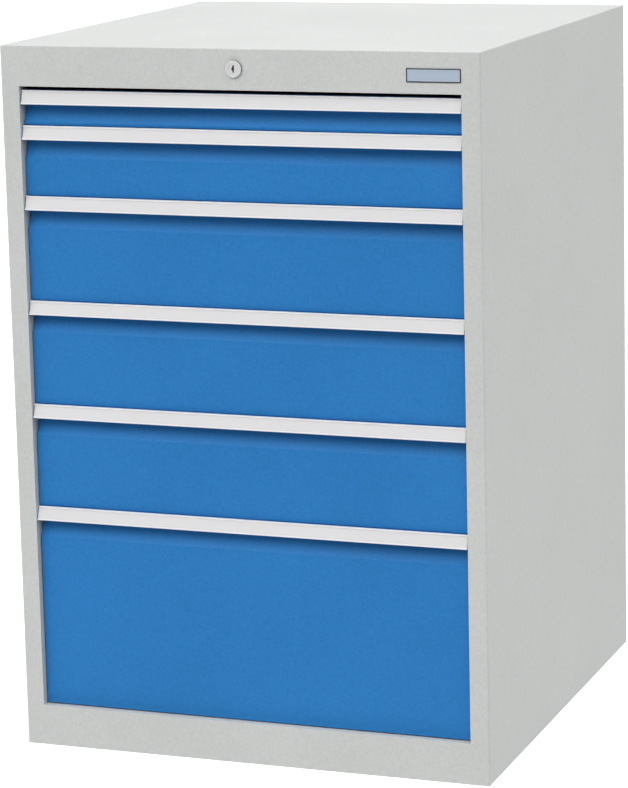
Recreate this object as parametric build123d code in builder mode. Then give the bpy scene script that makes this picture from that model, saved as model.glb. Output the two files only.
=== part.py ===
import os
from math import acos, asin, cos, radians, sin, sqrt
from build123d import *

# Steel drawer cabinet, millimetres. +Z is up, the drawer fronts look along -Y and +X is on the
# right as seen from the front. The origin is on the floor, under the centre of the whole cabinet.
# A depth is always counted backwards from the flat front face of the housing.

# Housing
opening_width = 651.0
stile_width = 27.0
housing_depth = 736.0
top_rail_height = 57.5
bottom_rail_height = 59.0
sheet = 1.5
bend_radius = 2.0
jamb_depth = 25.0
rail_lip_height = 12.0
sill_depth = 40.0
top_fold_height = 12.0
back_flange_width = 20.0
foot_flange_width = 40.0
anchor_hole_radius = 6.0
anchor_inset_front = 80.0
anchor_inset_back = 60.0
panel_gap = 0.5

# Drawer fronts, each as high as a whole number of steps of the slotted uprights
grid_pitch = 25.0
front_units = [2, 4, 6, 6, 6, 12]
top_reveal = 5.9
sill_step = 3.4
front_gap = 1.0
sill_gap = 2.0
side_gap = 1.5
front_sheet = 1.2
front_plane_depth = 10.5
recess_depth = 20.0
recess_height = 26.0

# Grip strip along the top of each front, with its label strip
strip_height = 19.5
strip_top_depth = 5.75
strip_foot_depth = 0.3
strip_wall = 2.2
strip_lip = 2.0
label_groove_depth = 1.2
label_groove_undercut = 0.8
label_thickness = 0.4
label_clearance = 0.15
ledge_thickness = 1.6
ledge_end_gap = 0.5
finger_lip_depth = 4.0
finger_lip_thickness = 1.8

# Drawer trays
tray_inner_depth = 600.0
tray_sheet = 1.2
tray_foot_gap = 4.0
tray_top_drop = 7.0
hem_height = 6.0
divider_slot_width = 2.5
divider_slot_height = 70.0
divider_slot_pitch = 50.0
divider_slot_margin = 9.0
divider_slot_head_gap = 4.5

# Telescopic roller rails beside each tray
rail_space = 19.5
rail_rise = 1
jamb_clearance = 1.0
channel_wall = 1.5
roller_radius = 11.0
roller_gap = 0.3
roller_side_gap = 0.6
roller_bore_gap = 0.05
roller_pin_radius = 3.0
roller_head_radius = 5.0
roller_head_thickness = 0.5
roller_head_gap = 0.1
carriage_plate = 2.5
carriage_gap = 0.5
carriage_height = 21.0
channel_front_depth = 26.0
channel_tail = 13.5
tray_channel_setback = 3.0
tray_channel_tail_gap = 1.4
carriage_front_depth = 30.0
carriage_tail_gap = 5.0
travel = 600.0
rail_stop = 2.0
stop_gap = 1.0

# Slotted uprights that carry the rails
upright_wall = 2.0
upright_width = 40.0
bar_to_upright_gap = 3.0
rear_upright_depth = 615.0
upright_head_gap = 20.0
slot_width = 4.0
slot_height = 14.0
hook_width = 3.0
hook_height = 12.0
hook_reach = 3.0
hook_drop = 3.0
hook_nose_gap = 0.5

# Central lock in the top rail
lock_drop = 28.0
lock_collar_radius = 12.0
lock_collar_proud = 3.0
lock_collar_round = 1.0
lock_body_radius = 9.5
lock_body_length = 22.0
lock_hole_gap = 0.1
plug_radius = 7.0
plug_gap = 0.05
plug_inset = 0.6
keyway_length = 10.5
keyway_width = 2.2
keyway_depth = 12.0
keyway_bulge_radius = 1.8
lock_nut_width = 24.0
lock_nut_thickness = 4.0
cam_gap = 0.3
cam_thickness = 3.0
cam_throw = 10.0
cam_half_angle = 45.0
cam_end_radius = 5.5
cam_tail_width = 6.0
cam_pin_radius = 2.5
cam_screw_radius = 4.0
cam_screw_thickness = 2.0
pin_tail = 0.8
pin_slot_gap = 0.7

# Transfer bar behind the top rail and locking bar behind the right stile
bar_thickness = 3.0
transfer_bar_gap = 0.7
jamb_to_bar_gap = 3.0
transfer_bar_foot = 9.0
transfer_bar_height = 21.0
transfer_bar_tail = 22.0
transfer_bar_end_margin = 6.0
locking_bar_gap = 1.0
locking_bar_width = 15.0
locking_bar_offset = 5.5
locking_bar_foot_gap = 3.0
lift_pin_radius = 3.0
lift_pin_inset = 13.0
lift_pin_rise = 22.5
lift_plate_width = 22.0
lift_plate_margin = 9.0
lock_stroke = 7.0
catch_rest_gap = 2.0
catch_locked_gap = 0.7
catch_play = 3.0
catch_side_gap = 3.0
catch_depth = 12.0
lug_thickness = 3.0
guide_wall = 1.5
guide_gap = 0.5
guide_height = 25.0
guide_drop = 22.0
guided_drawers = [2, 4, 6]
transfer_guide_width = 20.0
transfer_guide_places = [70.0, 240.0]

# Bare plate on the top rail
plate_width = 77.0
plate_height = 19.0
plate_thickness = 0.8
plate_rise = 15.5
plate_rim = 1.2
plate_rim_step = 0.3
plate_corner = 1.0

# Places and sizes that follow from the values above
housing_width = opening_width + 2 * stile_width
opening_height = top_reveal + grid_pitch * sum(front_units) - sill_step
opening_top = bottom_rail_height + opening_height
housing_height = opening_top + top_rail_height
body_height = housing_height - top_fold_height
front_y = -(housing_depth - lock_collar_proud) / 2
side_x = housing_width / 2
inner_x = side_x - sheet
jamb_x = opening_width / 2
back_panel_depth = housing_depth - 2 * sheet
floor_top = bottom_rail_height - sheet

front_half = jamb_x - side_gap
front_back_depth = recess_depth + front_sheet
recess_radius = (recess_height**2 + (recess_depth - front_plane_depth) ** 2) / (
    2 * (recess_depth - front_plane_depth)
)
recess_turn = asin(recess_height / recess_radius)
grid_foot = bottom_rail_height - sill_step
front_tops = [grid_foot + grid_pitch * sum(front_units[n:]) for n in range(len(front_units))]
front_feet = [top + front_gap for top in front_tops[1:]] + [bottom_rail_height + sill_gap]
rail_heights = [
    top - grid_pitch * (units - rail_rise) for top, units in zip(front_tops, front_units)
]

tray_half = jamb_x - rail_space
tray_front_depth = front_back_depth
tray_back_depth = tray_front_depth + tray_inner_depth + 2 * tray_sheet

channel_reach = (rail_space - jamb_clearance - carriage_plate - 2 * carriage_gap) / 2
channel_inner = roller_radius + roller_gap
channel_outer = channel_inner + channel_wall
carriage_x = tray_half + channel_reach + carriage_gap
roller_width = channel_reach - channel_wall - 2 * roller_side_gap
seat_x = jamb_x - jamb_clearance

lock_z = housing_height - lock_drop
cam_depth = lock_body_length + cam_gap
cam_back_depth = cam_depth + cam_thickness
transfer_bar_depth = max(
    jamb_depth + jamb_to_bar_gap, cam_back_depth + cam_screw_thickness + transfer_bar_gap
)
cam_reach = cam_throw * sin(radians(cam_half_angle))
transfer_stroke = 2 * cam_reach
transfer_bar_z = opening_top + transfer_bar_foot
lift_plate_depth = transfer_bar_depth + bar_thickness + locking_bar_gap
front_upright_depth = lift_plate_depth + locking_bar_width + bar_to_upright_gap
cabinet_channel_end = rear_upright_depth + (upright_width + hook_width) / 2 + channel_tail
carriage_end = cabinet_channel_end - carriage_tail_gap
tray_channel_front = tray_front_depth + tray_channel_setback
tray_channel_end = tray_back_depth - tray_channel_tail_gap
bar_x = jamb_x + locking_bar_offset
lift_pin_x = bar_x - lift_pin_inset
lift_pin_z = opening_top + lift_pin_rise
catch_rise = channel_outer + catch_locked_gap + lock_stroke
lug_height = catch_rise - catch_rest_gap - channel_outer
catch_inner_x = tray_half + catch_side_gap


def save(builder, name):
    """Label a finished piece and write it under its name."""
    builder.part.label = name
    export_step(builder.part, f"parts/{name}.step")


def y_at(depth):
    """Y of a depth behind the housing's front face."""
    return front_y + depth


def facing_front(depth):
    """Plane parallel to the front at a depth, drawn in X and Z and looking to the front."""
    return Plane.XZ.offset(-y_at(depth))


def block(x, depth, z, mode=Mode.ADD):
    """Box between two values of X, two depths and two heights."""
    centre = (sum(x) / 2, y_at(sum(depth) / 2), sum(z) / 2)
    with Locations(centre):
        Box(abs(x[1] - x[0]), abs(depth[1] - depth[0]), abs(z[1] - z[0]), mode=mode)


def across(width):
    """Plane of a section in Y and Z, from which a piece runs the given width, centred on X."""
    return Plane.YZ.offset(-width / 2)


def post(x, z, radius, near, far, mode=Mode.ADD):
    """Round post along Y from one depth to another."""
    with Locations((x, y_at((near + far) / 2), z)):
        Cylinder(radius, abs(far - near), rotation=(90, 0, 0), mode=mode)


# Housing


def make_side_panel():
    """Right side sheet, folded round the front into the stile and the jamb, and in at the back."""
    with BuildPart() as panel:
        block((inner_x, side_x), (0, housing_depth), (0, body_height))
        block((jamb_x, side_x), (0, sheet), (0, body_height))
        block((jamb_x, jamb_x + sheet), (0, jamb_depth), (0, body_height))
        flange = (side_x - back_flange_width, side_x)
        block(flange, (housing_depth - sheet, housing_depth), (0, body_height))
        corners = panel.edges().filter_by(Axis.Z).group_by(Axis.X)[-1]
        fillet(corners, bend_radius)
    return panel


def make_top_panel():
    """Shallow lid whose folded edges stand flush on the side panels and the top rail."""
    with BuildPart() as panel:
        block((-side_x, side_x), (0, housing_depth), (body_height, housing_height))
        corners = panel.edges().filter_by(Axis.Z)
        rim = panel.faces().sort_by(Axis.Z)[-1].edges()
        fillet(corners + rim, bend_radius)
        inside = (sheet, housing_depth - sheet)
        block((-inner_x, inner_x), inside, (body_height, housing_height - sheet), Mode.SUBTRACT)
    return panel


def make_back_panel():
    """Flat sheet inside the back flanges and the fold of the top."""
    with BuildPart() as panel:
        width = (-inner_x + panel_gap, inner_x - panel_gap)
        depth = (back_panel_depth, back_panel_depth + sheet)
        block(width, depth, (0, housing_height - sheet - panel_gap))
    return panel


def make_floor_panel():
    """Raised floor on folded legs, with foot flanges that rest on the ground and take anchors."""
    depth = (jamb_depth, back_panel_depth)
    with BuildPart() as panel:
        block((-inner_x, inner_x), depth, (0, floor_top))
        block((-inner_x + sheet, inner_x - sheet), depth, (sheet, floor_top - sheet), Mode.SUBTRACT)
        between_feet = inner_x - foot_flange_width
        block((-between_feet, between_feet), depth, (0, sheet), Mode.SUBTRACT)
        anchor_x = inner_x - foot_flange_width / 2
        anchor_depths = (anchor_inset_front, housing_depth - anchor_inset_back)
        places = [(x, y_at(d), sheet / 2) for x in (-anchor_x, anchor_x) for d in anchor_depths]
        with Locations(*places):
            Hole(anchor_hole_radius, depth=sheet)
    return panel


def make_top_rail():
    """Cross rail above the drawers, folded under and up behind, with the hole for the lock."""
    width = (-jamb_x, jamb_x)
    with BuildPart() as rail:
        block(width, (0, sheet), (opening_top, body_height))
        block(width, (0, jamb_depth), (opening_top, opening_top + sheet))
        block(width, (jamb_depth - sheet, jamb_depth), (opening_top, opening_top + rail_lip_height))
        post(0, lock_z, lock_body_radius + lock_hole_gap, 0, sheet, Mode.SUBTRACT)
    return rail


def make_bottom_rail():
    """Cross rail under the drawers, whose sill laps onto the raised floor."""
    width = (-jamb_x, jamb_x)
    with BuildPart() as rail:
        block(width, (0, sheet), (0, bottom_rail_height))
        block(width, (0, sill_depth), (floor_top, bottom_rail_height))
    return rail


def make_uprights():
    """Four slotted uprights, open towards the side panels they are welded to."""
    foot, head = floor_top, housing_height - upright_head_gap
    slots = sum(front_units)
    with BuildPart() as uprights:
        for near in (front_upright_depth, rear_upright_depth):
            far = near + upright_width
            block((seat_x, inner_x), (near, far), (foot, head))
            hollow = (near + upright_wall, far - upright_wall)
            block((seat_x + upright_wall, inner_x), hollow, (foot, head), Mode.SUBTRACT)
            for step in range(1, slots):
                z = grid_foot + step * grid_pitch
                middle = (near + far) / 2
                mouth = (middle - slot_width / 2, middle + slot_width / 2)
                reach = (z - slot_height / 2, z + slot_height / 2)
                block((seat_x, seat_x + upright_wall), mouth, reach, Mode.SUBTRACT)
        mirror(about=Plane.YZ)
    return uprights


def make_nameplate():
    """Bare plate with a raised rim at the right end of the top rail."""
    z = opening_top + plate_rise
    centre = (jamb_x - plate_width / 2, z + plate_height / 2)
    with BuildPart() as plate:
        with BuildSketch(facing_front(0)):
            with Locations(centre):
                RectangleRounded(plate_width, plate_height, plate_corner)
        extrude(amount=plate_thickness)
        with BuildSketch(facing_front(plate_rim_step - plate_thickness)):
            with Locations(centre):
                Rectangle(plate_width - 2 * plate_rim, plate_height - 2 * plate_rim)
        extrude(amount=plate_rim_step, mode=Mode.SUBTRACT)
    return plate


# Drawers


def make_front(top, foot):
    """Folded front: flange under the grip strip, finger recess, flat face, and side cheeks."""
    flange_front = strip_top_depth + strip_wall_across() + label_clearance
    recess_top = top - strip_height
    recess_foot = recess_top - recess_height
    centre_depth = recess_depth - recess_radius
    middle = (
        y_at(centre_depth + recess_radius * cos(recess_turn / 2)),
        recess_top - recess_radius * sin(recess_turn / 2),
    )
    inner_radius = recess_radius + front_sheet
    inner_plane = front_plane_depth + front_sheet
    inner_turn = acos((inner_plane - centre_depth) / inner_radius)
    inner_middle = (
        y_at(centre_depth + inner_radius * cos(inner_turn / 2)),
        recess_top - inner_radius * sin(inner_turn / 2),
    )
    inner_foot = recess_top - inner_radius * sin(inner_turn)
    with BuildPart() as front:
        with BuildSketch(across(2 * front_half)):
            with BuildLine():
                Polyline(
                    (y_at(recess_depth), recess_top),
                    (y_at(recess_depth), top - front_sheet),
                    (y_at(flange_front), top - front_sheet),
                    (y_at(flange_front), top),
                    (y_at(front_back_depth), top),
                    (y_at(front_back_depth), foot),
                    (y_at(front_plane_depth), foot),
                    (y_at(front_plane_depth), recess_foot),
                )
                ThreePointArc(
                    (y_at(front_plane_depth), recess_foot),
                    middle,
                    (y_at(recess_depth), recess_top),
                )
            make_face()
        extrude(amount=2 * front_half)
        with BuildSketch(across(2 * (front_half - front_sheet))):
            with BuildLine():
                Polyline(
                    (y_at(front_back_depth), recess_top),
                    (y_at(front_back_depth), foot + front_sheet),
                    (y_at(inner_plane), foot + front_sheet),
                    (y_at(inner_plane), inner_foot),
                )
                ThreePointArc(
                    (y_at(inner_plane), inner_foot),
                    inner_middle,
                    (y_at(front_back_depth), recess_top),
                )
            make_face()
        extrude(amount=2 * (front_half - front_sheet), mode=Mode.SUBTRACT)
    return front


def strip_slope():
    """Unit vector down the face of the grip strip, as depth and height, and the face's length."""
    run = strip_foot_depth - strip_top_depth
    length = sqrt(run**2 + strip_height**2)
    return run / length, -strip_height / length, length


def strip_wall_across():
    """Thickness of the strip's wall measured level, along the depth."""
    _, down, _ = strip_slope()
    return -strip_wall / down


def make_strip(top):
    """Aluminium grip strip: sloping face with a groove for the label, ledge and finger lip."""
    run, down, length = strip_slope()

    def at(along, inward):
        """Section point, by its way down the face and its way in from the face."""
        depth = strip_top_depth + along * run - inward * down
        return y_at(depth), top + along * down + inward * run

    floor = label_groove_depth
    lip = label_groove_depth - label_groove_undercut
    groove = (strip_lip - label_groove_undercut, length - strip_lip + label_groove_undercut)
    foot = top - strip_height
    ledge_top = top - front_sheet
    ledge_end = recess_depth - ledge_end_gap
    with BuildPart() as strip:
        with BuildSketch(across(2 * front_half)):
            with BuildLine():
                Polyline(
                    at(0, 0),
                    at(strip_lip, 0),
                    at(strip_lip, lip),
                    at(groove[0], lip),
                    at(groove[0], floor),
                    at(groove[1], floor),
                    at(groove[1], lip),
                    at(length - strip_lip, lip),
                    at(length - strip_lip, 0),
                    at(length, 0),
                    (y_at(strip_foot_depth + strip_wall_across()), foot),
                    (y_at(strip_top_depth + strip_wall_across()), top),
                    close=True,
                )
            make_face()
            with BuildLine():
                inside = strip_top_depth + strip_wall_across() / 2
                Polyline(
                    (y_at(inside), ledge_top),
                    (y_at(ledge_end), ledge_top),
                    (y_at(ledge_end), ledge_top - ledge_thickness),
                    (y_at(inside), ledge_top - ledge_thickness),
                    close=True,
                )
            make_face()
            with BuildLine():
                heel = strip_foot_depth + strip_wall_across()
                lip_end = heel + finger_lip_depth
                Polyline(
                    (y_at(heel), foot),
                    (y_at(lip_end), foot),
                    (y_at(lip_end), foot + finger_lip_thickness),
                    (y_at(heel), foot + finger_lip_thickness),
                    close=True,
                )
            make_face()
        extrude(amount=2 * front_half)
    return strip


def make_label(top):
    """Label strip that slides into the groove of the grip strip."""
    run, down, length = strip_slope()
    start = strip_lip - label_groove_undercut + label_clearance
    stop = length - start
    outer = label_groove_depth - label_thickness
    corners = [(start, outer), (stop, outer), (stop, label_groove_depth), (start, label_groove_depth)]
    with BuildPart() as label:
        with BuildSketch(across(2 * front_half - 2 * panel_gap)):
            with BuildLine():
                points = [
                    (y_at(strip_top_depth + a * run - i * down), top + a * down + i * run)
                    for a, i in corners
                ]
                Polyline(*points, close=True)
            make_face()
        extrude(amount=2 * front_half - 2 * panel_gap)
    return label


def make_tray(top, foot):
    """Open tray of thin sheet with a hemmed rim and slots for dividers."""
    low, high = foot + tray_foot_gap, top - tray_top_drop
    depth = (tray_front_depth, tray_back_depth)
    inside = (tray_front_depth + tray_sheet, tray_back_depth - tray_sheet)
    hemmed = (inside[0] + tray_sheet, inside[1] - tray_sheet)
    inner_half = tray_half - tray_sheet
    hem_half = inner_half - tray_sheet
    hem_foot = high - hem_height
    slot_low = low + divider_slot_margin
    slot_high = slot_low + min(divider_slot_height, hem_foot - divider_slot_head_gap - slot_low)
    side_slots = int((inside[1] - inside[0]) / divider_slot_pitch) - 1
    end_slots = int(2 * inner_half / divider_slot_pitch) - 1
    centre = (0, y_at(sum(inside) / 2), (slot_low + slot_high) / 2)
    with BuildPart() as tray:
        block((-tray_half, tray_half), depth, (low, high))
        block((-inner_half, inner_half), inside, (low + tray_sheet, hem_foot), Mode.SUBTRACT)
        block((-hem_half, hem_half), hemmed, (hem_foot, high), Mode.SUBTRACT)
        with Locations(centre):
            with GridLocations(1, divider_slot_pitch, 1, side_slots):
                Box(2 * tray_half, divider_slot_width, slot_high - slot_low, mode=Mode.SUBTRACT)
            with GridLocations(divider_slot_pitch, 1, end_slots, 1):
                length = depth[1] - depth[0]
                Box(divider_slot_width, length, slot_high - slot_low, mode=Mode.SUBTRACT)
    return tray


def channel(web, tip, depth, z):
    """Rail channel: web at one value of X, flange tips at the other, round rollers at a height."""
    inward = channel_wall if tip > web else -channel_wall
    block((web, tip), depth, (z - channel_outer, z + channel_outer))
    block((web + inward, tip), depth, (z - channel_inner, z + channel_inner), Mode.SUBTRACT)


def roller_places():
    """Depths of the rollers that run in the tray channel and in the cabinet channel."""
    inner_front = carriage_front_depth + roller_radius + roller_pin_radius
    inner_rear = tray_channel_end - tray_channel_setback - travel / 2 - 2 * roller_radius
    outer_front = channel_front_depth + travel / 2 + 2 * roller_radius
    outer_rear = carriage_end - roller_radius - roller_pin_radius
    return (inner_front, inner_rear), (outer_front, outer_rear)


def make_tray_channels(z):
    """Pair of channels on the tray's sides, with the lug that the locking bar catches."""
    depth = (tray_channel_front, tray_channel_end)
    stop = roller_places()[0][1] + travel / 2 + roller_radius + stop_gap
    web_inner = tray_half + channel_wall
    lug_depth = lift_plate_depth + catch_depth + catch_play
    with BuildPart() as channels:
        for side in (1, -1):
            channel(side * tray_half, side * (tray_half + channel_reach), depth, z)
            width = (side * web_inner, side * (tray_half + channel_reach))
            block(width, (stop, stop + rail_stop), (z - channel_inner, z + channel_inner))
        lug = (z + channel_outer, z + channel_outer + lug_height)
        block((tray_half, tray_half + channel_reach), (lug_depth, lug_depth + lug_thickness), lug)
    return channels


def make_cabinet_channels(z):
    """Pair of channels hooked into the uprights."""
    depth = (channel_front_depth, cabinet_channel_end)
    outer = roller_places()[1]
    front_stop = outer[0] - travel / 2 - roller_radius - stop_gap - rail_stop
    rear_stop = outer[1] + roller_radius + stop_gap
    with BuildPart() as channels:
        for side in (1, -1):
            web_inner = side * (seat_x - channel_wall)
            tip = side * (seat_x - channel_reach)
            channel(side * seat_x, tip, depth, z)
            for stop in (front_stop, rear_stop):
                width = (web_inner, tip)
                block(width, (stop, stop + rail_stop), (z - channel_inner, z + channel_inner))
            for near in (front_upright_depth, rear_upright_depth):
                middle = near + upright_width / 2
                hook = (middle - hook_width / 2, middle + hook_width / 2)
                back = seat_x + upright_wall
                tongue = (side * seat_x, side * (back + hook_reach))
                block(tongue, hook, (z - hook_height / 2, z + hook_height / 2))
                nose = (side * (back + hook_nose_gap), side * (back + hook_reach))
                block(nose, hook, (z - hook_height / 2 - hook_drop, z - hook_height / 2))
    return channels


def make_carriages(z):
    """Pair of carriage plates that travel between the channels, each with four rollers."""
    depth = (carriage_front_depth, carriage_end)
    inner, outer = roller_places()
    places = [(d, -1) for d in inner] + [(d, 1) for d in outer]
    plate = (carriage_x, carriage_x + carriage_plate)
    with BuildPart() as carriages:
        block(plate, depth, (z - carriage_height / 2, z + carriage_height / 2))
        for d, way in places:
            face = plate[1] if way > 0 else plate[0]
            near = face + way * carriage_gap
            far = near + way * (roller_width + roller_head_gap)
            with BuildSketch(Plane.YZ.offset(face)):
                with Locations((y_at(d), z)):
                    Circle(roller_pin_radius)
            extrude(amount=far - face)
            with BuildSketch(Plane.YZ.offset(far)):
                with Locations((y_at(d), z)):
                    Circle(roller_head_radius)
            extrude(amount=way * roller_head_thickness)
            with BuildSketch(Plane.YZ.offset(near)):
                with Locations((y_at(d), z)):
                    Circle(roller_radius)
                    Circle(roller_pin_radius + roller_bore_gap, mode=Mode.SUBTRACT)
            extrude(amount=way * roller_width)
        mirror(about=Plane.YZ)
    return carriages


# Lock


def make_lock_barrel():
    """Fixed lock barrel with its round collar on the face of the top rail."""
    with BuildPart() as barrel:
        post(0, lock_z, lock_collar_radius, -lock_collar_proud, 0)
        rim = barrel.faces().sort_by(Axis.Y)[0].edges()
        fillet(rim, lock_collar_round)
        post(0, lock_z, lock_body_radius, 0, lock_body_length)
        bore = plug_radius + plug_gap
        post(0, lock_z, bore, -lock_collar_proud, lock_body_length, Mode.SUBTRACT)
    return barrel


def make_lock_nut():
    """Hexagon nut that clamps the barrel from behind the rail."""
    with BuildPart() as nut:
        with BuildSketch(facing_front(sheet + lock_nut_thickness)):
            with Locations((0, lock_z)):
                RegularPolygon(lock_nut_width / 2, 6, major_radius=False)
                Circle(lock_body_radius + lock_hole_gap, mode=Mode.SUBTRACT)
        extrude(amount=lock_nut_thickness)
    return nut


def make_lock_plug():
    """Turning plug with its keyway and the square tail that drives the cam."""
    face = plug_inset - lock_collar_proud
    with BuildPart() as plug:
        post(0, lock_z, plug_radius, face, lock_body_length)
        tail = (-cam_tail_width / 2, cam_tail_width / 2)
        tail_z = (lock_z - cam_tail_width / 2, lock_z + cam_tail_width / 2)
        block(tail, (lock_body_length, cam_back_depth), tail_z)
        with BuildSketch(facing_front(face + keyway_depth)):
            with Locations((0, lock_z)):
                SlotOverall(keyway_length, keyway_width, rotation=90)
            with Locations((-keyway_width / 2, lock_z)):
                Circle(keyway_bulge_radius)
        extrude(amount=keyway_depth, mode=Mode.SUBTRACT)
    return plug


def make_cam():
    """Cam on the plug's tail, with the crank pin that works the transfer bar, and its screw."""
    pin_end = transfer_bar_depth + bar_thickness + pin_tail
    with BuildPart() as cam:
        with BuildSketch(facing_front(cam_back_depth)):
            with Locations((cam_reach / 2, lock_z - cam_reach / 2)):
                SlotCenterToCenter(cam_throw, 2 * cam_end_radius, rotation=-cam_half_angle)
            with Locations((0, lock_z)):
                Rectangle(cam_tail_width, cam_tail_width, mode=Mode.SUBTRACT)
        extrude(amount=cam_thickness)
        post(cam_reach, lock_z - cam_reach, cam_pin_radius, cam_back_depth, pin_end)
        screw_end = cam_back_depth + cam_screw_thickness
        post(0, lock_z, cam_screw_radius, cam_back_depth, screw_end)
    return cam


def make_transfer_bar():
    """Flat bar that the cam pushes sideways, with a sloping slot that works the locking bar."""
    far = transfer_bar_depth + bar_thickness
    slope_end = (lift_pin_x + transfer_stroke, lift_pin_z - lock_stroke)
    right = slope_end[0] + lift_pin_radius + pin_slot_gap + transfer_bar_end_margin
    middle = (lift_pin_x + transfer_stroke / 2, lift_pin_z - lock_stroke / 2)
    with BuildPart() as bar:
        width = (-transfer_bar_tail, right)
        block(width, (transfer_bar_depth, far), (transfer_bar_z, transfer_bar_z + transfer_bar_height))
        with BuildSketch(facing_front(far)):
            crank_half = cam_pin_radius + pin_slot_gap
            rise = cam_throw - cam_reach
            with Locations((cam_reach, lock_z - (cam_throw + cam_reach) / 2)):
                SlotCenterToCenter(rise, 2 * crank_half, rotation=90)
            slope = Vector(transfer_stroke, -lock_stroke)
            tilt = -Vector(1, 0).get_angle(slope)
            with Locations(middle):
                SlotCenterToCenter(slope.length, 2 * (lift_pin_radius + pin_slot_gap), rotation=tilt)
        extrude(amount=bar_thickness, mode=Mode.SUBTRACT)
    return bar


def make_locking_bar():
    """Upright bar with one catch over each drawer's lug, and the pin that lifts it."""
    foot = floor_top + lock_stroke + locking_bar_foot_gap
    head = lift_pin_z + lift_plate_margin
    width = (bar_x, bar_x + bar_thickness)
    plate = (lift_plate_depth, lift_plate_depth + bar_thickness)
    with BuildPart() as bar:
        block(width, (lift_plate_depth, lift_plate_depth + locking_bar_width), (foot, head))
        plate_x = (bar_x + bar_thickness - lift_plate_width, bar_x + bar_thickness)
        block(plate_x, plate, (lift_pin_z - lift_plate_margin, head))
        post(lift_pin_x, lift_pin_z, lift_pin_radius, transfer_bar_depth - pin_tail, plate[0])
        for z in rail_heights:
            catch = (z + catch_rise, z + catch_rise + bar_thickness)
            block((catch_inner_x, bar_x), (plate[0], plate[0] + catch_depth), catch)
    return bar


def make_bar_guides():
    """Guides that wrap the locking bar and the transfer bar."""
    bar = (bar_x - guide_gap, bar_x + bar_thickness + guide_gap)
    deep = (lift_plate_depth - guide_gap, lift_plate_depth + locking_bar_width + guide_gap)
    low = transfer_bar_z - guide_gap
    high = transfer_bar_z + transfer_bar_height + guide_gap
    thin = (transfer_bar_depth - guide_gap, transfer_bar_depth + bar_thickness + guide_gap)
    with BuildPart() as guides:
        for drawer in guided_drawers:
            z = rail_heights[drawer - 1] - guide_drop
            outer = (bar[0] - guide_wall, bar[1] + guide_wall)
            block(outer, (deep[0] - guide_wall, front_upright_depth), (z, z + guide_height))
            block(bar, deep, (z, z + guide_height), Mode.SUBTRACT)
        for x in transfer_guide_places:
            span = (x, x + transfer_guide_width)
            block(span, (jamb_depth, thin[1] + guide_wall), (low - guide_wall, high + guide_wall))
            block(span, thin, (low, high), Mode.SUBTRACT)
    return guides


os.makedirs("parts", exist_ok=True)

right_side_panel = make_side_panel()
save(right_side_panel, "right_side_panel")
with BuildPart() as left_side_panel:
    mirror(right_side_panel.part, about=Plane.YZ)
save(left_side_panel, "left_side_panel")
save(make_top_panel(), "top_panel")
save(make_back_panel(), "back_panel")
save(make_floor_panel(), "floor_panel")
save(make_top_rail(), "front_top_rail")
save(make_bottom_rail(), "front_bottom_rail")
save(make_uprights(), "rail_uprights")
save(make_nameplate(), "nameplate")

save(make_lock_barrel(), "lock_barrel")
save(make_lock_nut(), "lock_nut")
save(make_lock_plug(), "lock_plug")
save(make_cam(), "lock_cam")
save(make_transfer_bar(), "transfer_bar")
save(make_locking_bar(), "locking_bar")
save(make_bar_guides(), "lock_bar_guides")

for number, (top, foot, rail_z) in enumerate(zip(front_tops, front_feet, rail_heights), start=1):
    save(make_front(top, foot), f"drawer_{number}_front")
    save(make_strip(top), f"drawer_{number}_grip_strip")
    save(make_label(top), f"drawer_{number}_label_strip")
    save(make_tray(top, foot), f"drawer_{number}_tray")
    save(make_tray_channels(rail_z), f"drawer_{number}_channels")
    save(make_carriages(rail_z), f"rail_carriages_{number}")
    save(make_cabinet_channels(rail_z), f"cabinet_channels_{number}")
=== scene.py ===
import math

import bmesh
import bpy
from mathutils import Matrix, Vector


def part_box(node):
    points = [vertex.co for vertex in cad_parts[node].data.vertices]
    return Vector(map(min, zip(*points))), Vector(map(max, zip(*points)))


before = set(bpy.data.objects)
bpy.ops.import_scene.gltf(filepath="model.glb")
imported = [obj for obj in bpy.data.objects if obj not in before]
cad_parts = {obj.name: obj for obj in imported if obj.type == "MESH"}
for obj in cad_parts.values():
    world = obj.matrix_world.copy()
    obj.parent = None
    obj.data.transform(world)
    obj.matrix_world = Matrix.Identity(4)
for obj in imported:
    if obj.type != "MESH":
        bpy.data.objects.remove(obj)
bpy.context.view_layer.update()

# Sizes in metres, in the cabinet's own frame: +Z up, the drawer fronts look along -Y.
MM = 0.001
DRAWERS = range(1, 7)
HOUSING_PANELS = (
    "top_panel", "left_side_panel", "right_side_panel", "back_panel", "floor_panel",
    "front_top_rail", "front_bottom_rail",
)


class Value:
    """What a node puts out. Python's operators on it add Math nodes."""

    def __init__(self, finish, socket):
        self.finish = finish
        self.socket = socket

    def math(self, operation, *others):
        sockets = dict(enumerate((self, *others)))
        return self.finish.node("ShaderNodeMath", {"operation": operation}, sockets)

    def __add__(self, other):
        return self.math("ADD", other)

    def __radd__(self, other):
        return self.math("ADD", other)

    def __sub__(self, other):
        return self.math("SUBTRACT", other)

    def __rsub__(self, other):
        return self.finish.node("ShaderNodeMath", {"operation": "SUBTRACT"}, {0: other, 1: self})

    def __mul__(self, other):
        return self.math("MULTIPLY", other)

    def __rmul__(self, other):
        return self.math("MULTIPLY", other)

    def __truediv__(self, other):
        return self.math("DIVIDE", other)

    def __gt__(self, other):
        return self.math("GREATER_THAN", other)

    def __lt__(self, other):
        return self.math("LESS_THAN", other)

    def __abs__(self):
        return self.math("ABSOLUTE")


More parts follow.
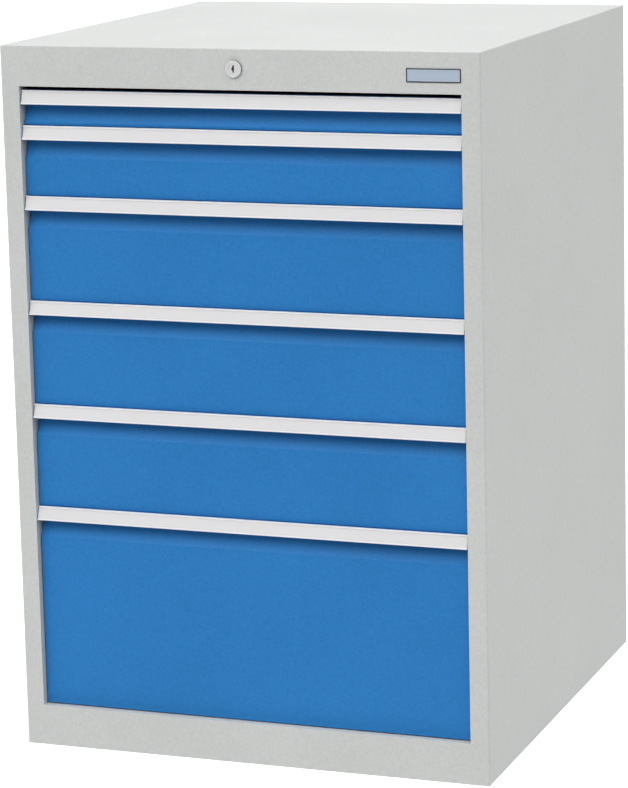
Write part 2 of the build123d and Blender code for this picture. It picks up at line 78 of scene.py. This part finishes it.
class Finish:
    """A material or a world, whose nodes all come from one method."""

    def __init__(self, owner, shader="ShaderNodeBsdfPrincipled"):
        owner.use_nodes = True
        self.owner = owner
        self.tree = owner.node_tree
        self.tree.nodes.clear()
        self.shader = self.tree.nodes.new(shader)

    def node(self, kind, settings=None, inputs=None, out=0):
        """Add a node: its settings come first, then its sockets get numbers, colours or links."""
        made = self.tree.nodes.new(kind)
        for key, value in (settings or {}).items():
            if key == "stops":
                ramp = made.color_ramp.elements
                while len(ramp) < len(value):
                    ramp.new(1)
                for stop, (place, colour) in zip(ramp, value):
                    stop.position, stop.color = place, (*colour, 1)
            else:
                setattr(made, key, value)
        for key, value in (inputs or {}).items():
            self.feed(made.inputs[key], value)
        return Value(self, made.outputs[out])

    def feed(self, socket, value):
        """Link a socket, or set it where the value is plain."""
        if isinstance(value, Value):
            self.tree.links.new(value.socket, socket)
        elif isinstance(value, tuple) and len(value) == 3 and len(socket.default_value) == 4:
            socket.default_value = (*value, 1)
        else:
            socket.default_value = value

    def surface(self, **sockets):
        """Set the shader's own sockets, spaces in their names written as underscores."""
        for key, value in sockets.items():
            self.feed(self.shader.inputs[key.replace("_", " ")], value)

    def close(self, kind="ShaderNodeOutputMaterial"):
        """Join the shader to the output."""
        self.tree.links.new(self.shader.outputs[0], self.tree.nodes.new(kind).inputs["Surface"])
        return self.owner

    def place(self):
        """Object coordinates, which are the cabinet's own metres."""
        return self.node("ShaderNodeTexCoord", out="Object")

    def axes(self, vector):
        """The three parts of a vector."""
        outs = self.node("ShaderNodeSeparateXYZ", {}, {0: vector}).socket.node.outputs
        return [Value(self, outs[i]) for i in range(3)]

    def stretched(self, scale):
        """Object coordinates scaled along each axis, for grain that runs one way."""
        return self.node("ShaderNodeMapping", {}, {"Vector": self.place(), "Scale": scale})

    def noise(self, scale, detail=2.0, rough=0.5, vector=None, out=0):
        """Cloudy pattern around one half."""
        sockets = {"Vector": vector or self.place(), "Scale": scale}
        sockets.update({"Detail": detail, "Roughness": rough})
        return self.node("ShaderNodeTexNoise", {}, sockets, out)

    def mix(self, share, first, second):
        """Colour between two colours."""
        settings = {"data_type": "RGBA"}
        return self.node("ShaderNodeMix", settings, {0: share, 6: first, 7: second}, out=2)

    def relief(self, height, depth, strength, over=None):
        """Bumps of a depth in metres, on top of other bumps."""
        sockets = {"Height": height, "Distance": depth, "Strength": strength}
        if over:
            sockets["Normal"] = over
        return self.node("ShaderNodeBump", {}, sockets)

    def ray(self, kind):
        """One for light rays of a kind, and zero for the others."""
        return self.node("ShaderNodeLightPath", out=f"Is {kind} Ray")

    def glow(self, stops, height):
        """Grey ramp from pairs of height and brightness."""
        settings = {"stops": [(place, (level,) * 3) for place, level in stops]}
        return self.node("ShaderNodeValToRGB", settings, {0: height})


def shade(colour, amount):
    """The colour made lighter or darker."""
    return tuple(c * amount for c in colour)


def powder_coat(name, colour, speckle, gloss_level):
    """Baked powder coat: fine orange peel, faint clouding, and a speckle in the tone."""
    f = Finish(bpy.data.materials.new(name))
    grain = f.noise(950, detail=3, rough=0.6)
    peel = f.noise(260, detail=1)
    cloud = f.noise(5, detail=3, rough=0.55)
    tone = 0.5 + (grain - 0.5) * 0.9 + (peel - 0.5) * 1.3 + (cloud - 0.5) * 0.8
    peel_bumps = f.relief(peel, 0.192 * MM, 0.2)
    f.surface(
        Base_Color=f.mix(tone, shade(colour, 1 - speckle), shade(colour, 1 + speckle)),
        Roughness=0.46 + (grain - 0.5) * 0.16 + (cloud - 0.5) * 0.1,
        Normal=f.relief(grain, 0.12 * MM, 0.35, over=peel_bumps),
        Specular_IOR_Level=gloss_level,
    )
    return f.close()


def anodised_aluminium():
    """Drawn strip: fine die lines along its length under a matt, whitish anodised skin."""
    f = Finish(bpy.data.materials.new("anodised_aluminium"))
    lines = f.noise(1.0, detail=4, rough=0.7, vector=f.stretched((2.0, 2600, 2600)))
    cloud = f.noise(14, detail=2)
    f.surface(
        Base_Color=f.mix(lines, (0.88, 0.88, 0.89), (0.97, 0.97, 0.975)),
        Metallic=0.06,
        Roughness=0.36 + (lines - 0.5) * 0.2 + (cloud - 0.5) * 0.08,
        Normal=f.relief(lines, 0.03 * MM, 0.4),
    )
    return f.close()


def label_film():
    """Plain off-white paper under a clear film."""
    f = Finish(bpy.data.materials.new("label_film"))
    fibre = f.noise(1400, detail=3, rough=0.7)
    cloud = f.noise(9, detail=2)
    tone = 0.5 + (fibre - 0.5) * 0.6 + (cloud - 0.5) * 0.7
    f.surface(
        Base_Color=f.mix(tone, (0.77, 0.76, 0.77), (0.82, 0.81, 0.82)),
        Roughness=0.5 + (fibre - 0.5) * 0.1,
        Coat_Weight=0.25,
        Coat_Roughness=0.25,
        Normal=f.relief(fibre, 0.02 * MM, 0.3),
    )
    return f.close()


def galvanised_sheet():
    """Zinc coated sheet with soft spangles, each with its own tone and polish."""
    f = Finish(bpy.data.materials.new("galvanised_sheet"))
    warp = f.noise(90, vector=f.place(), out="Color")
    bent = f.node(
        "ShaderNodeVectorMath", {"operation": "MULTIPLY_ADD"},
        {0: warp, 1: (6 * MM, 6 * MM, 6 * MM), 2: f.place()},
    )
    spangles = f.node(
        "ShaderNodeTexVoronoi", {"feature": "F1"}, {"Vector": bent, "Scale": 120}, out="Color"
    )
    tone = f.node("ShaderNodeSeparateColor", {}, {0: spangles})
    haze = f.noise(7, detail=3)
    f.surface(
        Base_Color=f.mix(0.35 * tone + 0.65 * haze, (0.56, 0.575, 0.59), (0.76, 0.77, 0.78)),
        Metallic=0.85,
        Roughness=0.36 + tone * 0.14 + (haze - 0.5) * 0.1,
        Normal=f.relief(tone, 0.02 * MM, 0.15),
    )
    return f.close()


def zinc_plate(name, dark, light, roughness):
    """Zinc plated steel, clear passivated, with fine drawn lines from front to back."""
    f = Finish(bpy.data.materials.new(name))
    lines = f.noise(1.0, detail=3, rough=0.65, vector=f.stretched((1500, 12, 900)))
    blush = f.noise(26, detail=3)
    tone = 0.5 + (lines - 0.5) * 0.6 + (blush - 0.5) * 0.9
    f.surface(
        Base_Color=f.mix(tone, dark, light),
        Metallic=0.9,
        Roughness=roughness + (lines - 0.5) * 0.12 + (blush - 0.5) * 0.12,
        Normal=f.relief(lines, 0.02 * MM, 0.25),
    )
    return f.close()


def turned_nickel(name, centre, face):
    """Nickel plate with turning marks around the lock's axis; all of it deeper than half a
    millimetre past its face is painted near black, a painted shade for the gaps there.
    """
    f = Finish(bpy.data.materials.new(name))
    x, y, z = f.axes(f.place())
    across, up = x - centre.x, z - centre.z
    reach = (across * across + up * up).math("SQRT")
    rings = (reach * 9000).math("SINE") * 0.5 + 0.5
    stain = f.noise(420, detail=3)
    # Painted shade: the collar's side and everything deeper than the face is coloured near black,
    # standing in for shadow and dark reflection
    painted_shade_behind = y > face + 0.5 * MM
    bright = f.mix(stain, (0.88, 0.88, 0.875), (0.97, 0.97, 0.965))
    f.surface(
        Base_Color=f.mix(painted_shade_behind, bright, (0.05, 0.05, 0.052)),
        Metallic=0.25,
        Roughness=0.4 + (rings - 0.5) * 0.06 + (stain - 0.5) * 0.1,
        Normal=f.relief(rings, 0.01 * MM, 0.25),
    )
    return f.close()


def bare_plate():
    """Pale brushed plate whose raised rim is dark."""
    low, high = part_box("nameplate")
    f = Finish(bpy.data.materials.new("bare_plate"))
    x, _, z = f.axes(f.place())
    centre, half = (low + high) / 2, (high - low) / 2
    rim = 1.5 * MM
    inside = (abs(x - centre.x) < half.x - rim) * (abs(z - centre.z) < half.z - rim)
    brushed = f.noise(1.0, detail=3, vector=f.stretched((60, 2500, 2500)))
    pale = f.mix(brushed, (0.50, 0.60, 0.73), (0.61, 0.71, 0.84))
    f.surface(
        Base_Color=f.mix(inside, (0.06, 0.06, 0.065), pale),
        Metallic=0.2 * inside,
        Roughness=0.42 + (brushed - 0.5) * 0.12,
        Normal=f.relief(brushed, 0.01 * MM, 0.3),
    )
    return f.close()


def paint(material, *nodes):
    """Give CAD nodes their finish."""
    for node in nodes:
        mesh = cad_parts[node].data
        mesh.materials.clear()
        mesh.materials.append(material)


def soften(node, width):
    """Round the sharp edges of a CAD node, as folding and coating leave them."""
    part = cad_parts[node]
    weld = part.modifiers.new("weld", "WELD")
    weld.merge_threshold = 0.005 * MM
    bevel = part.modifiers.new("soft_edges", "BEVEL")
    bevel.width, bevel.segments = width, 2
    bevel.limit_method, bevel.angle_limit = "ANGLE", math.radians(35)


lock_low, lock_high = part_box("lock_plug")
lock_centre = (lock_low + lock_high) / 2
collar_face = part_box("lock_barrel")[0].y

grey_coat = powder_coat("light_grey_powder_coat", (0.618, 0.633, 0.62), 0.07, 0.3)
blue_coat = powder_coat("blue_powder_coat", (0.030, 0.208, 0.54), 0.09, 0.12)
aluminium = anodised_aluminium()
film = label_film()
galvanised = galvanised_sheet()
zinc = zinc_plate("zinc_plated_steel", (0.53, 0.54, 0.55), (0.72, 0.72, 0.70), 0.33)
lock_zinc = zinc_plate("zinc_plated_lock_parts", (0.50, 0.50, 0.48), (0.70, 0.68, 0.60), 0.36)

paint(grey_coat, *HOUSING_PANELS)
paint(zinc, "rail_uprights")
paint(lock_zinc, "lock_nut", "lock_cam", "transfer_bar", "locking_bar", "lock_bar_guides")
paint(turned_nickel("turned_nickel", lock_centre, collar_face), "lock_barrel")
paint(turned_nickel("turned_nickel_plug", lock_centre, lock_low.y), "lock_plug")
paint(bare_plate(), "nameplate")
for n in DRAWERS:
    paint(blue_coat, f"drawer_{n}_front")
    paint(aluminium, f"drawer_{n}_grip_strip")
    paint(film, f"drawer_{n}_label_strip")
    paint(galvanised, f"drawer_{n}_tray")
    paint(zinc, f"drawer_{n}_channels", f"rail_carriages_{n}", f"cabinet_channels_{n}")
    soften(f"drawer_{n}_front", 0.5 * MM)
    soften(f"drawer_{n}_grip_strip", 0.2 * MM)

# Floor: it reaches past the horizon and lies just under the foot flanges
FLOOR_REACH, FLOOR_DROP = 60, 0.2 * MM
floor_mesh = bpy.data.meshes.new("floor")
floor = bpy.data.objects.new("floor", floor_mesh)
bpy.context.scene.collection.objects.link(floor)
shape = bmesh.new()
bmesh.ops.create_grid(shape, x_segments=1, y_segments=1, size=FLOOR_REACH)
bmesh.ops.translate(shape, verts=shape.verts, vec=(0, 0, -FLOOR_DROP))
shape.to_mesh(floor_mesh)
shape.free()
f = Finish(bpy.data.materials.new("pale_floor"))
f.surface(Base_Color=(0.95, 0.95, 0.95), Roughness=0.8)
f.surface(Emission_Color=(1, 1, 1), Emission_Strength=0.3)
floor_mesh.materials.append(f.close())
floor.visible_diffuse = floor.visible_glossy = False

# Studio: its brightness by height, from 0 straight down to 1 straight up. The fronts' finger
# recesses get their long soft shade from light that comes steeply from below and at 20 to 50
# degrees from above.
DIFFUSE_SKY = (
    (0, 3.6), (0.1, 2.6), (0.22, 0.3), (0.41, 0), (0.535, 0), (0.604, 0.1),
    (0.679, 0.7), (0.765, 2.7), (0.86, 2.85), (0.953, 0.3), (1, 0),
)
GLOSS_SKY = (
    (0, 0.2), (0.3, 0.4), (0.5, 0.45), (0.56, 0.21), (0.66, 0.21), (0.8, 0.5), (1, 0.5),
)
# How much brighter it is towards the right and the back, and its least brightness
DIFFUSE_RIGHT, DIFFUSE_BACK, GLOSS_BACK, FAINTEST = 0.38, -0.22, 0.8, 0.1

world = bpy.data.worlds.new("studio")
bpy.context.scene.world = world
f = Finish(world, "ShaderNodeBackground")
across, along, upward = f.axes(f.node("ShaderNodeTexCoord", out="Generated"))
height = upward * 0.5 + 0.5
# Half towards the front left and the back right, minus half towards the other two corners
corner = across * along / (across * across + along * along + 0.02)
diffuse_slant = DIFFUSE_RIGHT * across + DIFFUSE_BACK * along + corner
dome = f.mix(f.ray("Glossy"), f.glow(DIFFUSE_SKY, height), f.glow(GLOSS_SKY, height))
slant = f.ray("Diffuse") * diffuse_slant + f.ray("Glossy") * along * GLOSS_BACK
f.surface(
    Color=f.mix(f.ray("Camera"), dome, (1, 1, 1)),
    Strength=(1 + slant).math("MAXIMUM", FAINTEST),
)
f.close("ShaderNodeOutputWorld")

# Soft light from the front left
KEY_PLACE, KEY_AIM = Vector((-4.6, -4.6, 2.6)), Vector((0, -0.37, 0.5))
light = bpy.data.lights.new("key", "AREA")
light.size, light.energy = 2, 8
key = bpy.data.objects.new("key", light)
bpy.context.scene.collection.objects.link(key)
key.location = KEY_PLACE
key.rotation_mode = "QUATERNION"
key.rotation_quaternion = (KEY_AIM - KEY_PLACE).to_track_quat("-Z", "Y")
key.visible_camera = False

# The photograph's camera: focal length, picture height and shift in pixels, places in metres
AZIMUTH, ELEVATION, ROLL = map(math.radians, (19.655, 10.765, -1.148))
FOCAL, LONG_SIDE, SHIFT = 3116.17, 788, 60
AIM, TRACK, RISE, RANGE = Vector((0, 0, 0.5)), -0.05972, -0.05368, 4.6812
FARTHEST = 200
level = math.cos(ELEVATION)
back = Vector((math.sin(AZIMUTH) * level, -math.cos(AZIMUTH) * level, math.sin(ELEVATION)))
right = Vector((math.cos(AZIMUTH), math.sin(AZIMUTH), 0))
up = back.cross(right)
right, up = (
    math.cos(ROLL) * right + math.sin(ROLL) * up,
    -math.sin(ROLL) * right + math.cos(ROLL) * up,
)
eye = AIM - TRACK * right - RISE * up + RANGE * back
camera_data = bpy.data.cameras.new("camera")
camera = bpy.data.objects.new("camera", camera_data)
bpy.context.scene.collection.objects.link(camera)
camera.matrix_world = Matrix.Translation(eye) @ Matrix((right, up, back)).transposed().to_4x4()
camera_data.lens = FOCAL / LONG_SIDE * camera_data.sensor_width
camera_data.shift_x = camera_data.shift_y = -SHIFT / LONG_SIDE
camera_data.clip_end = FARTHEST
bpy.context.scene.camera = camera
bpy.context.scene.view_settings.view_transform = "Standard"
